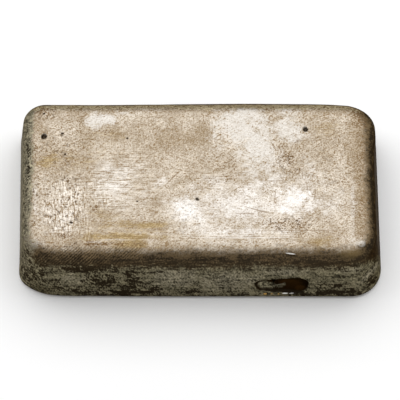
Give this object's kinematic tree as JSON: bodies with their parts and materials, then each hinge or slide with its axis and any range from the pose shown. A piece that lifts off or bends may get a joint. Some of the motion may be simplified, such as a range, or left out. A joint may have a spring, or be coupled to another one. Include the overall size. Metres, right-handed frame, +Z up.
{
  "type": "metal ingot",
  "caption": "Small hand-cast metal bar with drafted walls, rounded shoulders, a casting cavity in one long wall and gas pores in its top.",
  "frame": {"origin": "centre of the underside, which is the wider, poured face that the bar lies on", "axes": "+X along the bar's length, +Y across it towards the wall without the cavity, +Z up"},
  "size_m": [0.0676, 0.0369, 0.013],
  "materials": {
    "cast_silver": "satin"
  },
  "bodies": {
    "root": {"ingot": "cast_silver"}
  },
  "joints": []
}
